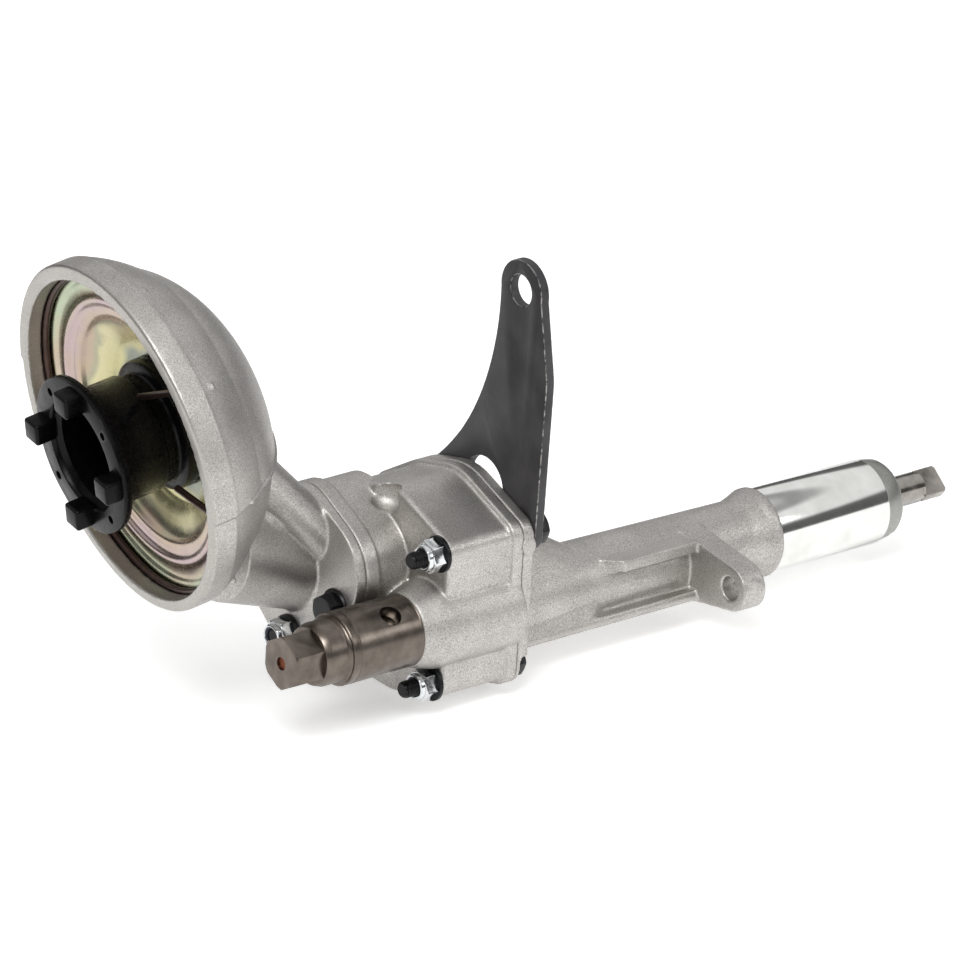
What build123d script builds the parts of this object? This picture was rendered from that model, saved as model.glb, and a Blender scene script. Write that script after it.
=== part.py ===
from build123d import *
import math
import os

# Engine oil pump, in millimetres.
# +X runs along the drive shaft towards its tang and +Z is up. The origin is on the
# shaft's axis, at the collar face that the turned guide sleeve ends against.
# Profiles that are square to the shaft are drawn in (Y, Z).

# Fits and clearances
RUNNING = 0.03          # radial room of a shaft or piston that turns or slides
SEATED = 0.02           # radial room of a piece that is pressed or screwed in
GEAR_SIDE = 0.08        # room at each side face of a gear
GEAR_TIP = 0.15         # room between the gear tips and their chamber
BOLT_ROOM = 0.3         # radial room round a bolt in a through hole
FACE_ROOM = 0.05        # room between two faces that are clamped together loosely
EDGE = 0.8              # broken edge of a turned piece

# Drive shaft
SHAFT_R = 5.5
TAIL_L = 2.5            # shaft that runs in the pump body beyond the gears
TAIL_ROOM = 0.5
SHAFT_OUT = 17.0        # round shaft that stands out of the nose
TANG_L = 9.5
TANG_W = 10.4
TANG_T = 4.2
TANG_TURN = 43.5        # degrees from +Y to the blade's wide side
KEY_W = 3.0
KEY_L = 18.0
BUSH_WALL = 1.5
BUSH_L = 16.0

# Drive housing
SLEEVE_R = 15.0
SLEEVE_L = 48.5
NOSE_L = 8.0
NOSE_DROP = 2.6         # how much the nose narrows below the sleeve
COLLAR_LIP = 0.5        # how far the collar stands above the sleeve
COLLAR_L = 10.0
COLLAR_RIM = 2.0
TUBE_THIN_R = 13.2
TUBE_THICK_R = 14.5
FLARE_R = 16.6
GUSSET_L = 42.5         # how far the crown over the driven gear runs out along the tube
HOUSING_L = 130.0       # collar face to the joint with the pump body
FLANGE_T = 4.5
LOW_LUG_T = 1.5         # the flange is spot-faced down to this at the near lower bolt
GALLERY_R = 9.5         # pressure gallery round the shaft
GALLERY_ROOM = 0.5      # between the gallery and the bushes
PRESSURE_PORT_R = 2.8   # from the gear chamber into the gallery
PRESSURE_PORT_AT = (-9.0, 6.3)
OUTLET_R = 4.0          # pressure outlet on the hidden side of the sleeve
OUTLET_TURN = -60.0
OIL_HOLE_R = 1.3
OIL_HOLE_TURN = 147.0

# Mounting ear of the drive housing
EAR_T = 9.6
EAR_FACE = -30.4
EAR_HOLE = (-34.0, -2.0)
EAR_HOLE_R = 4.2
EAR_WALL = 4.0
RIB_R = 2.0
RIB_ROOT = 0.6          # how deep the ribs are rooted in the tube
RIB_Y = -15.3
RIB_TOP = 8.5
RIB_BOTTOM = -9.4
POCKET_L = 47.0
POCKET_FLOOR_R = 12.8
POCKET_RAMP = 9.0       # the pocket's shallow end, towards the flange
UPPER_RIB_L = 46.0      # the upper rib stops here, the lower one runs on to the flange

# Gears
MODULE = 3.0
TEETH = 10
PRESSURE_ANGLE = 28.0
ADDENDUM = 0.95         # in modules
DEDENDUM = 1.2          # in modules
BACKLASH = 0.12
GEAR_W = 26.0
MESH_ANGLE = 70.0       # degrees from +Y to the driven gear
IDLER_R = 6.0
IDLER_SEAT = 6.5

# Pump body
BODY_L = 31.0           # joint face to the face under the nuts
LIP_L = 4.5             # flange lip at the joint
LIP = 1.6
NEAR_LOBE_AT = (-0.8, 31.3)
NEAR_LOBE_R = 23.3
CAST_R = 2.0            # soft edge of the cast block
LOBE_WALL = 6.5         # wall round the driven gear
STUB_L = 19.0           # from the nut face to the bell flange
STUB_NEAR = ((5.9, 27.2), 17.2)
STUB_FAR = ((18.0, 37.5), 14.6)
STUB_LIP = 1.4          # how far the bell flange stands out of the stub
SUMP_WALL = 3.6         # wall round the drive gear
INLET_AT = (27.5, 22.0)
INLET_R = 9.5
INLET_WALL = 5.5

# Fasteners of the pump body: M6 bolts with washers and locking nuts
NUTTED_BOLTS = [(-28.0, 36.8), (-23.5, -10.2), (35.0, -10.0)]
BODY_SCREW = (33.0, 35.0)
SCREW_L = 24.0
CORNER_R = [6.5, 7.0, 8.0]
SCREW_CORNER_R = 8.0
BOLT_R = 3.0
HEAD_AF = 10.0
HEAD_H = 4.0
NUT_AF = 10.0
NUT_TURN = 15.0
NUT_H = 5.0
NUT_COLLAR = 1.6
WASHER_R = 6.3
WASHER_T = 1.4
SPOT_ROOM = 0.4         # round a washer where the boss is cut away for it
BOLT_STICKS_OUT = 5.0

# Support bracket
BRACKET_T = 3.5
BRACKET_HOLE = (-26.8, 121.5)
BRACKET_HOLE_R = 5.5
BRACKET_HEAD_R = 10.6
BRACKET_WAIST = [(-11.5, 94.9), (3.5, 66.0), (25.0, 46.0)]
BRACKET_CORNER = (-40.4, 92.0)
BRACKET_CORNER_R = 30.0
ARCH_AT = (-7.0, 47.5)
ARCH_R = 10.0

# Relief valve
VALVE_AT = (-21.0, 10.1)
BOSS_R = 15.5
BOSS_FACE_R = 12.9      # the boss narrows to this at the barrel
BOSS_TAPER = 9.0
BOSS_STEP = 11.0        # how far the boss stands beyond the nut face
BARREL_R = 12.6
BARREL_L = 29.6
BARREL_RING_L = 1.8     # ring left between the turned groove and the cap
GROOVE = 0.4
BARREL_BORE_R = 7.5
BARREL_SPIGOT_R = 8.0
BARREL_SPIGOT_L = 7.5
CROSS_HOLE_R = 3.2
CROSS_HOLE_AT = 10.6    # from the boss face
CROSS_HOLE_TURN = 37.0  # degrees from straight up
RELIEF_PORT_R = 3.4
RELIEF_PORT_TURN = 154.0
PISTON_SEAT = 3.5       # from the boss face to the piston's nose
PISTON_L = 14.0
PISTON_FACE = 3.0        # thickness of the piston's closed end
PORT_BORE_R = 5.2       # oil way through the barrel's spigot
SPRING_ROOM = 0.35
PISTON_STROKE = 7.0
CAP_R = 11.0
CAP_L = 7.7
STOP_ROOM = 0.6         # left between the piston's tail and the cap at full stroke
HEX_AF = 17.0
HEX_L = 13.7
HEX_TURN = 35.0
HEX_CORNER_R = HEX_AF / 2 / math.cos(math.radians(30))
CAP_RIM = 0.6
SPRING_FLOOR = 3.0      # thickness of the cap behind the spring
SPRING_WIRE_R = 0.7
SPRING_R = 4.4
SPRING_TURNS = 6
PLUG_R = 2.2
PLUG_L = 3.0

# Suction bell, on its own axis: the first number is measured inwards from the rim
BELL_REACH = 64.5       # rim centre to the bell flange, along the shaft
BELL_ACROSS = (34.5, 78.8)
BELL_AXIS = (0.9728, -0.1284, 0.1936)
RIM_R = 62.3
RIM_WALL = 5.6
RIM_L = 9.0             # width of the rim's straight band
RIM_BEVEL = 0.8
SHOULDER_L = 15.0       # sloping shoulder between the band and the dome
DOME_S = 12.0           # centre of the dome's oval
DOME_R = 56.0
DOME_DEPTH = 36.0       # from that centre to the dome's crown
PART_STEP = 1.3         # the lower mould half left the bell this much smaller
PARTING = 191.3         # degrees round the bell to the mould's parting line
BELL_WALL = 4.0
SEAT_S = 12.0           # the ledge that the strainer lies on
WIRE_R = 1.25
BELL_FLANGE_T = 4.0
BODY_FLANGE_T = 6.0     # the flange of the pump body that the bell is bolted to
DUCT_AT = (27.0, 25.0)
DUCT_R = 18.0
DUCT_BELL_AT = (30.0, 39.0)
DUCT_BELL_R = 23.0
DUCT_L = 30.0
MOUTH_AT = (29.0, 35.0)
MOUTH_R = 12.5          # where the oil way opens into the dome
MOUTH_L = 42.0
WEB_R = 13.0            # web between the flange and the underside of the dome
WEB_AT = (16.0, 39.5)
WEB_BELL_AT = (22.0, 62.0)
WEB_L = 20.0
LOBE_AT = (22.0, 42.0)
LOBE_R = 11.0
BELL_BOLT_AT = (-0.8, 15.2)
BELL_BOLT_LUG_R = 7.0
BELL_STUDS = [(24.5, -1.0), (54.0, 26.0)]
LUG_R = 8.5
BELL_BOLT_HEAD_R = 6.6
BELL_BOLT_HEAD_H = 6.0
BELL_BOLT_L = 14.0

# Strainer, cover and snorkel, on the bell's axis
COVER_T = 1.2
GAUZE_T = 0.8
COVER_HOLE_R = 21.0
COVER_DEPTH = 9.5       # how far the middle of the cover is dished inwards
COVER_EDGE_R = 54.0     # the flat rim of the cover ends here
COVER_LIP = 1.5         # the cover's rim stands this far out of its flat ring
BEAD_R = 46.5
BEAD_W = 2.4
BEAD_H = 1.8
STEP_R = 40.5
COVER_STEP = 3.0
RECESS_R = 31.0
RECESS_S = 7.0          # the sloping ring inside the step ends this deep
PRESS_R = 0.5           # bend of the pressed sheets
SHEET_ROOM = 0.4        # round the edge of the cover and the gauze
GAUZE_DEPTH = 16.0
SNORKEL_R = 20.5
SNORKEL_BORE_R = 17.5
SPOOL_R = 23.0
SPOOL_T = 2.2
RING_R = 27.7
RING_BORE_R = 20.0
RING_T = 3.5
RING_S = -14.0
SNORKEL_LUG = 8.0
LUG_L = 6.0
LUG_AT_R = 22.3
LUG_ROOT = 2.0          # how deep a lug is rooted in the ring
SNORKEL_TURN = 38.4
NEAR_SIDE = 152.1       # degrees from the bell frame's Y to its side nearest the viewer
# The wire's two ends: degrees below the near side where each leaves the ring, then its tip,
# and the tip's radius
PRONG_A = (-5.3, -26.5, 22.7)
PRONG_B = (44.4, 49.0, 29.7)
PRONG_RISE = 2.0

# Places that follow from the sizes above
JOINT_X = -HOUSING_L
FLANGE_X = JOINT_X + FLANGE_T
LOW_LUG_X = JOINT_X + LOW_LUG_T
BRACKET_X = FLANGE_X + BRACKET_T
NUT_X = JOINT_X - BODY_L
STUB_X = NUT_X - STUB_L
BELL_FLANGE_X = STUB_X - BELL_FLANGE_T
BOSS_X = NUT_X - BOSS_STEP
NOSE_X = SLEEVE_L + NOSE_L
BUSH_R = SHAFT_R + RUNNING + BUSH_WALL
PITCH_R = MODULE * TEETH / 2
TIP_R = PITCH_R + MODULE * ADDENDUM
ROOT_R = PITCH_R - MODULE * DEDENDUM
CHAMBER_R = TIP_R + GEAR_TIP
CHAMBER_L = GEAR_W + 2 * GEAR_SIDE
GEAR_X = JOINT_X - GEAR_SIDE - GEAR_W
DRIVEN_AT = (2 * PITCH_R * math.cos(math.radians(MESH_ANGLE)),
             2 * PITCH_R * math.sin(math.radians(MESH_ANGLE)))
BELL_AT = (BELL_FLANGE_X - BELL_REACH, *BELL_ACROSS)
RIM_BORE_R = RIM_R - RIM_WALL
VAULT_R = DOME_R - BELL_WALL
COVER_S = SEAT_S - GAUZE_T - COVER_T
WIRE_S = COVER_S - COVER_LIP - WIRE_R - FACE_ROOM
BELL_FRAME = Plane(origin=BELL_AT, x_dir=BELL_AXIS,
                   z_dir=Vector(0, 0, 1) - Vector(BELL_AXIS) * BELL_AXIS[2])


def across(x):
    """A plane square to the shaft at x, with Y to its right and Z up."""
    return Plane.YZ.offset(x)


def disc(x, length, radius, at=(0, 0)):
    """A cylinder along X, from x to x + length, round the point at in (Y, Z)."""
    return extrude(across(x) * Pos(*at) * Circle(radius), length)


def side_hole(radius, turn):
    """A drill that goes out from the X axis to one side; turn 0 points up."""
    drill = Cylinder(radius, SLEEVE_R * 2, align=(Align.CENTER, Align.CENTER, Align.MIN))
    return Rot(turn, 0, 0) * drill


def hexagon(x, length, across_flats, at=(0, 0), turn=0):
    """A hexagonal prism along X."""
    profile = RegularPolygon(across_flats / 2, 6, major_radius=False, rotation=turn)
    return extrude(across(x) * Pos(*at) * profile, length)


def turned(*outline):
    """A solid turned about the X axis from the (x, radius) points of half its section."""
    return revolve(make_face(Polyline(*outline, close=True)), Axis.X)


def hull_of(circles):
    """The outline of a belt drawn round circles, each given as (centre, radius)."""
    edges = [Pos(*at) * e for at, r in circles for e in Circle(r).edges()]
    return make_hull(edges)


def polar(radius, angle):
    """The (Y, Z) point at a radius and an angle in degrees."""
    return (radius * math.cos(math.radians(angle)), radius * math.sin(math.radians(angle)))


# Gears

def gear_outline(turn):
    """An involute gear's outline, with the middle of a tooth at the angle turn."""
    base_r = PITCH_R * math.cos(math.radians(PRESSURE_ANGLE))
    flat_tooth = (math.pi * MODULE / 2 - BACKLASH) / 2 / PITCH_R

    def involute(angle):
        return math.tan(angle) - angle

    def half_tooth(radius):
        grown = involute(math.acos(min(1, base_r / radius)))
        return math.degrees(flat_tooth + involute(math.radians(PRESSURE_ANGLE)) - grown)

    flank_radii = [base_r + (TIP_R - base_r) * step / 4 for step in range(5)]
    pitch = 360 / TEETH
    edges = []
    for tooth in range(TEETH):
        middle = turn + tooth * pitch
        rise = [polar(r, middle - half_tooth(r)) for r in flank_radii]
        fall = [polar(r, middle + half_tooth(r)) for r in reversed(flank_radii)]
        foot = polar(ROOT_R, middle - half_tooth(base_r))
        heel = polar(ROOT_R, middle + half_tooth(base_r))
        next_foot = polar(ROOT_R, middle + pitch - half_tooth(base_r))
        edges += [Line(foot, rise[0]), Spline(*rise),
                  ThreePointArc(rise[-1], polar(TIP_R, middle), fall[0]),
                  Spline(*fall), Line(fall[-1], heel),
                  ThreePointArc(heel, polar(ROOT_R, middle + pitch / 2), next_foot)]
    return make_face(edges)


def drive_gear():
    gear = extrude(across(GEAR_X) * gear_outline(MESH_ANGLE), GEAR_W)
    gear -= disc(GEAR_X, GEAR_W, SHAFT_R + SEATED)
    return gear - key_block(SEATED)


def driven_gear():
    gap_turn = MESH_ANGLE + 180 + 180 / TEETH
    gear = extrude(across(GEAR_X) * Pos(*DRIVEN_AT) * gear_outline(gap_turn), GEAR_W)
    return gear - disc(GEAR_X, GEAR_W, IDLER_R + RUNNING, DRIVEN_AT)


def key_block(room=0.0):
    """The flat key between the shaft and the drive gear, grown by room for its keyway."""
    width = KEY_W + 2 * room
    height = KEY_W + 2 * room
    length = KEY_L + 2 * room
    middle = (GEAR_X + GEAR_W / 2, 0, SHAFT_R)
    return Pos(*middle) * Box(length, width, height)


def gear_key():
    return key_block()


def idler_pin():
    length = CHAMBER_L + IDLER_SEAT - FACE_ROOM
    pin = disc(JOINT_X - FACE_ROOM - length, length, IDLER_R, DRIVEN_AT)
    return chamfer(pin.edges().filter_by(GeomType.CIRCLE), 0.4)


# Drive shaft and its bushes

def drive_shaft():
    tail = JOINT_X - CHAMBER_L - TAIL_L
    shoulder = NOSE_X + SHAFT_OUT
    shaft = turned((tail, 0), (tail, SHAFT_R - EDGE), (tail + EDGE, SHAFT_R),
                   (shoulder - 2 * EDGE, SHAFT_R), (shoulder - EDGE, SHAFT_R - EDGE / 2),
                   (shoulder, SHAFT_R - EDGE / 2), (shoulder, 0))
    blade_turn = Rot(TANG_TURN, 0, 0)
    blade = Box(TANG_L, TANG_W, TANG_T, align=(Align.MIN, Align.CENTER, Align.CENTER))
    blade &= turned((0, 0), (0, SHAFT_R), (TANG_L - EDGE, SHAFT_R), (TANG_L, SHAFT_R - EDGE), (TANG_L, 0))
    shaft += Pos(shoulder, 0, 0) * blade_turn * blade
    return shaft - key_block(SEATED)


def bush(x):
    return disc(x, BUSH_L, BUSH_R) - disc(x, BUSH_L, SHAFT_R + RUNNING)


def upper_bush():
    return bush(NOSE_X - BUSH_L)


def lower_bush():
    return bush(JOINT_X)


# Drive housing

def joint_outline():
    """The outline of the flange between the drive housing and the pump body."""
    corners = [*zip(NUTTED_BOLTS, CORNER_R), (BODY_SCREW, SCREW_CORNER_R)]
    lobes = [(DRIVEN_AT, CHAMBER_R + LOBE_WALL), (NEAR_LOBE_AT, NEAR_LOBE_R),
             ((0, 0), CHAMBER_R + SUMP_WALL)]
    return hull_of(corners + lobes)


def housing_tube():
    """The turned nose and sleeve, the collar, and the tube that widens towards the flange."""
    thin_x = -COLLAR_L
    thick_x = FLANGE_X + GUSSET_L
    nose_r = SLEEVE_R - NOSE_DROP
    return turned((NOSE_X, 0), (NOSE_X, nose_r), (NOSE_X - 2 * EDGE, nose_r + NOSE_DROP / 2),
                  (SLEEVE_L, SLEEVE_R), (0, SLEEVE_R), (0, SLEEVE_R + COLLAR_LIP),
                  (-COLLAR_RIM, SLEEVE_R + COLLAR_LIP), (thin_x, TUBE_THIN_R),
                  (thick_x, TUBE_THICK_R), (FLANGE_X, FLARE_R), (FLANGE_X, 0))


def lower_rib(x, length):
    """The web that leaves the tube towards the lower rib."""
    core = ((0, 0), TUBE_THIN_R - RIB_ROOT)
    return extrude(across(x) * hull_of([core, ((RIB_Y, RIB_BOTTOM), RIB_R)]), length)


def upper_rib(x):
    """A straight rib that fades into the tube, ending at x."""
    edge = -RIB_Y + RIB_R
    side = Polyline((x, 0), (x, -edge), (x - UPPER_RIB_L * 0.7, -edge), (x - UPPER_RIB_L, 0), close=True)
    return Pos(0, 0, RIB_TOP) * extrude(make_face(side), RIB_R, both=True)


def housing_ear():
    """The ear that takes the side bolt, with the two ribs that run back to the flange."""
    ear_back = EAR_FACE - EAR_T
    tip = (EAR_HOLE, EAR_HOLE_R + EAR_WALL)
    ear = extrude(across(ear_back) * hull_of([((0, 0), TUBE_THIN_R), tip]), EAR_T)
    far = SLEEVE_R * 2
    shape = Polyline((0, -far), (0, -POCKET_FLOOR_R), (POCKET_RAMP - POCKET_L, -POCKET_FLOOR_R),
                     (-POCKET_L, -SLEEVE_R - RIB_R), (-POCKET_L, -far), close=True)
    pocket = extrude(make_face(shape), (RIB_TOP - RIB_BOTTOM) / 2 - RIB_R, both=True)
    pocket = Pos(ear_back, 0, (RIB_TOP + RIB_BOTTOM) / 2) * pocket
    pocket -= disc(FLANGE_X, HOUSING_L, POCKET_FLOOR_R)
    return ear + (lower_rib(FLANGE_X, ear_back - FLANGE_X) - pocket) + upper_rib(ear_back)


def drive_housing():
    housing = housing_tube() + housing_ear()
    housing += extrude(across(JOINT_X) * joint_outline(), FLANGE_T)
    gusset = hull_of([((0, 0), FLARE_R), (DRIVEN_AT, ROOT_R)])
    crown = across(FLANGE_X) * gusset
    foot = across(FLANGE_X + GUSSET_L) * Circle(TUBE_THICK_R - RIB_ROOT)
    housing += loft([crown.face(), foot.face()])
    housing -= disc(JOINT_X, HOUSING_L + NOSE_X, BUSH_R + SEATED)
    gallery_x = JOINT_X + BUSH_L + GALLERY_ROOM
    gallery_end = NOSE_X - BUSH_L - GALLERY_ROOM
    housing -= disc(gallery_x, gallery_end - gallery_x, GALLERY_R)
    housing -= disc(JOINT_X, BUSH_L + 2 * PRESSURE_PORT_R, PRESSURE_PORT_R, PRESSURE_PORT_AT)
    housing -= Pos(gallery_end - 2.5 * OUTLET_R, 0, 0) * side_hole(OUTLET_R, OUTLET_TURN)
    housing -= Pos(SLEEVE_L + OIL_HOLE_R, 0, 0) * side_hole(OIL_HOLE_R, OIL_HOLE_TURN)
    for at in [*NUTTED_BOLTS, BODY_SCREW]:
        housing -= disc(JOINT_X, FLANGE_T + GUSSET_L, BOLT_R + BOLT_ROOM, at)
    housing -= disc(LOW_LUG_X, FLANGE_T, CORNER_R[1] + SPOT_ROOM, NUTTED_BOLTS[1])
    housing -= disc(EAR_FACE - EAR_T, EAR_T, EAR_HOLE_R, EAR_HOLE)
    return housing


# Pump body

def bell_flange_outline():
    stub = [(at, r + STUB_LIP) for at, r in (STUB_NEAR, STUB_FAR)]
    return hull_of([*stub, (BELL_BOLT_AT, BELL_BOLT_LUG_R), *((at, LUG_R) for at in BELL_STUDS)])


def pump_body():
    block = extrude(across(JOINT_X) * offset(joint_outline(), -LIP), -BODY_L)
    body = fillet(block.faces().sort_by(Axis.X)[0].edges(), CAST_R)
    body += extrude(across(JOINT_X) * joint_outline(), -LIP_L)
    boss = turned((BOSS_X, 0), (BOSS_X, BOSS_FACE_R), (BOSS_X + BOSS_TAPER, BOSS_R), (JOINT_X, BOSS_R),
                  (JOINT_X, 0))
    body += Pos(0, *VALVE_AT) * boss
    body += extrude(across(STUB_X) * hull_of([STUB_NEAR, STUB_FAR]), NUT_X - STUB_X + LIP_L)
    body += disc(STUB_X, NUT_X - STUB_X + LIP_L, INLET_R + INLET_WALL, INLET_AT)
    body += extrude(across(STUB_X) * bell_flange_outline(), BODY_FLANGE_T)
    for at in [(0, 0), DRIVEN_AT]:
        body -= disc(JOINT_X - CHAMBER_L, CHAMBER_L, CHAMBER_R, at)
    body -= disc(JOINT_X - CHAMBER_L - TAIL_L - TAIL_ROOM, TAIL_L + 2 * TAIL_ROOM, SHAFT_R + RUNNING)
    body -= disc(JOINT_X - CHAMBER_L - IDLER_SEAT, IDLER_SEAT, IDLER_R + SEATED, DRIVEN_AT)
    body -= disc(STUB_X, JOINT_X - CHAMBER_L + 2 - STUB_X, INLET_R, INLET_AT)
    body -= disc(BOSS_X, BARREL_SPIGOT_L + 0.5, BARREL_SPIGOT_R + SEATED, VALVE_AT)
    port_at = polar(CHAMBER_R - RELIEF_PORT_R + 1, RELIEF_PORT_TURN)
    body -= disc(BOSS_X, JOINT_X - CHAMBER_L - BOSS_X + 1, RELIEF_PORT_R, port_at)
    for at in NUTTED_BOLTS:
        body -= disc(NUT_X, BODY_L, BOLT_R + BOLT_ROOM, at)
        body -= disc(BOSS_X, BOSS_STEP, WASHER_R + SPOT_ROOM, at)
    body -= disc(JOINT_X - SCREW_L, SCREW_L, BOLT_R + SEATED, BODY_SCREW)
    for at in [BELL_BOLT_AT, *BELL_STUDS]:
        body -= disc(STUB_X, BELL_BOLT_L, BOLT_R + SEATED, at)
    return body


# Fasteners

def hex_bolt(at, head_x, tip):
    """A bolt with its head on the +X side, and its shank running back to tip."""
    shank = disc(tip, head_x - tip, BOLT_R, at)
    return chamfer(shank.faces().sort_by(Axis.X)[0].edges(), EDGE) + hexagon(head_x, HEAD_H, HEAD_AF, at)


def body_bolts():
    tip = NUT_X - WASHER_T - NUT_H - NUT_COLLAR - BOLT_STICKS_OUT
    heads = [BRACKET_X, LOW_LUG_X, FLANGE_X]
    bolts = [hex_bolt(at, x, tip) for at, x in zip(NUTTED_BOLTS, heads)]
    return Compound(children=[*bolts, hex_bolt(BODY_SCREW, BRACKET_X, JOINT_X - SCREW_L + 1)])


def locking_nut(x, at, turn):
    """A locking nut whose seat is at x and whose collar points to -X."""
    nut = hexagon(x - NUT_H, NUT_H, NUT_AF, at, turn)
    nut += disc(x - NUT_H - NUT_COLLAR, NUT_COLLAR, NUT_AF / 2 - EDGE / 2, at)
    return nut - disc(x - NUT_H - NUT_COLLAR, NUT_H + NUT_COLLAR, BOLT_R + SEATED, at)


def washer(x, at):
    """A washer on the -X side of the face at x."""
    return disc(x - WASHER_T, WASHER_T, WASHER_R, at) - disc(x - WASHER_T, WASHER_T, BOLT_R + BOLT_ROOM, at)


def body_nuts():
    return Compound(children=[locking_nut(NUT_X - WASHER_T, at, NUT_TURN) for at in NUTTED_BOLTS])


def body_washers():
    return Compound(children=[washer(NUT_X, at) for at in NUTTED_BOLTS])


def bell_bolt():
    shank = disc(BELL_FLANGE_X, BELL_FLANGE_T + BELL_BOLT_L - 1, BOLT_R, BELL_BOLT_AT)
    collar = disc(BELL_FLANGE_X - WASHER_T, WASHER_T, BELL_BOLT_HEAD_R, BELL_BOLT_AT)
    head = hexagon(BELL_FLANGE_X - BELL_BOLT_HEAD_H, BELL_BOLT_HEAD_H, HEAD_AF, BELL_BOLT_AT, 2 * NUT_TURN)
    return shank + collar + head


def bell_studs():
    tip = BELL_FLANGE_X - WASHER_T - NUT_H - NUT_COLLAR - 1
    end = STUB_X + BELL_BOLT_L - 1
    return Compound(children=[disc(tip, end - tip, BOLT_R, at) for at in BELL_STUDS])


def bell_nuts():
    return Compound(children=[locking_nut(BELL_FLANGE_X - WASHER_T, at, 0) for at in BELL_STUDS])


def bell_washers():
    return Compound(children=[washer(BELL_FLANGE_X, at) for at in BELL_STUDS])


# Support bracket

def support_bracket():
    """The flat bracket: a waisted arm on two feet, with an arch between them."""
    far_y, far_z = BODY_SCREW
    near_y, near_z = NUTTED_BOLTS[0]
    hole_y, hole_z = BRACKET_HOLE
    head_left = (hole_y + BRACKET_HEAD_R, hole_z - 1)
    head_right = (hole_y - BRACKET_HEAD_R, hole_z - 2)
    left = Spline(head_left, *BRACKET_WAIST, (far_y + 6.8, far_z + 2))
    far_foot = ThreePointArc(left @ 1, (far_y + 3, far_z - 6.3), (far_y - 7, far_z - 1))
    arch_right = (ARCH_AT[0] + ARCH_R, ARCH_AT[1])
    arch_left = (ARCH_AT[0] - ARCH_R, ARCH_AT[1])
    far_leg = Line(far_foot @ 1, arch_right)
    arch = ThreePointArc(arch_right, (ARCH_AT[0], ARCH_AT[1] + ARCH_R), arch_left)
    near_leg = Line(arch_left, (near_y + 6.2, near_z - 4))
    near_foot = ThreePointArc(near_leg @ 1, (near_y, near_z - 7.0), (near_y - 6.4, near_z))
    right = FilletPolyline(near_foot @ 1, BRACKET_CORNER, head_right, radius=BRACKET_CORNER_R)
    head = ThreePointArc(head_right, (hole_y, hole_z + BRACKET_HEAD_R), head_left)
    outline = [left, far_foot, far_leg, arch, near_leg, near_foot, right, head]
    plate = extrude(across(FLANGE_X) * make_face(outline), BRACKET_T)
    plate -= disc(FLANGE_X, BRACKET_T, BRACKET_HOLE_R, BRACKET_HOLE)
    for at in (BODY_SCREW, NUTTED_BOLTS[0]):
        plate -= disc(FLANGE_X, BRACKET_T, BOLT_R + BOLT_ROOM, at)
    return plate


# Relief valve, turned about its own axis and then moved to VALVE_AT

def on_valve_axis(solid):
    return Pos(BOSS_X, *VALVE_AT) * solid


def relief_barrel():
    end = -BARREL_L
    groove = end + BARREL_RING_L
    barrel = turned((BARREL_SPIGOT_L, 0), (BARREL_SPIGOT_L, BARREL_SPIGOT_R), (0, BARREL_SPIGOT_R),
                    (0, BARREL_R), (groove + 2 * GROOVE, BARREL_R),
                    (groove + 1.5 * GROOVE, BARREL_R - GROOVE), (groove + GROOVE / 2, BARREL_R - GROOVE),
                    (groove, BARREL_R), (end, BARREL_R), (end, 0))
    barrel -= turned((-PISTON_SEAT, 0), (-PISTON_SEAT, BARREL_BORE_R), (end, BARREL_BORE_R), (end, 0))
    barrel -= turned((BARREL_SPIGOT_L, 0), (BARREL_SPIGOT_L, PORT_BORE_R), (-PISTON_SEAT, PORT_BORE_R),
                     (-PISTON_SEAT, 0))
    for turn in (0, 120, 240):
        barrel -= Pos(-CROSS_HOLE_AT, 0, 0) * side_hole(CROSS_HOLE_R, CROSS_HOLE_TURN + turn)
    return on_valve_axis(barrel)


def relief_piston():
    nose = -PISTON_SEAT
    outside = BARREL_BORE_R - RUNNING
    piston = turned((nose, 0), (nose, outside - EDGE), (nose - EDGE, outside),
                    (nose - PISTON_L, outside), (nose - PISTON_L, 0))
    return on_valve_axis(piston - spring_pocket(nose - PISTON_L, nose - PISTON_FACE))


def spring_pocket(start, end):
    return disc(start, end - start, SPRING_R + SPRING_WIRE_R + SPRING_ROOM)


def relief_cap():
    face = -BARREL_L
    end = face - CAP_L
    tip = end - HEX_L
    spigot = -PISTON_SEAT - PISTON_L - PISTON_STROKE - STOP_ROOM
    cap = turned((spigot, 0), (spigot, BARREL_BORE_R - SEATED), (face, BARREL_BORE_R - SEATED),
                 (face, CAP_R + CAP_RIM), (face - EDGE, CAP_R + CAP_RIM), (face - 2 * EDGE, CAP_R),
                 (end + EDGE, CAP_R), (end, CAP_R - EDGE), (end, 0))
    rounding = turned((end + EDGE, 0), (end + EDGE, HEX_AF), (tip + 2 * EDGE, HEX_CORNER_R + EDGE / 2),
                      (tip, HEX_AF / 2 - EDGE / 2), (tip, 0))
    cap += hexagon(tip, HEX_L + EDGE, HEX_AF, (0, 0), HEX_TURN) & rounding
    cap -= spring_pocket(spring_end(), spigot)
    cap -= disc(tip, PLUG_L + EDGE, PLUG_R + SEATED)
    return on_valve_axis(cap)


def spring_end():
    return -BARREL_L - CAP_L + SPRING_FLOOR


def relief_spring():
    start = -PISTON_SEAT - PISTON_FACE - SPRING_WIRE_R
    end = spring_end() + SPRING_WIRE_R
    length = start - end
    path = Helix(length / SPRING_TURNS, length, SPRING_R, center=(end, 0, 0), direction=(1, 0, 0))
    coil = sweep(Plane(path @ 0, z_dir=path % 0) * Circle(SPRING_WIRE_R), path)
    return on_valve_axis(coil)


def relief_plug():
    face = -BARREL_L - CAP_L - HEX_L
    return on_valve_axis(disc(face + EDGE, PLUG_L, PLUG_R))


# Suction bell and what it holds, turned about X and then laid on the bell's axis

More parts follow.
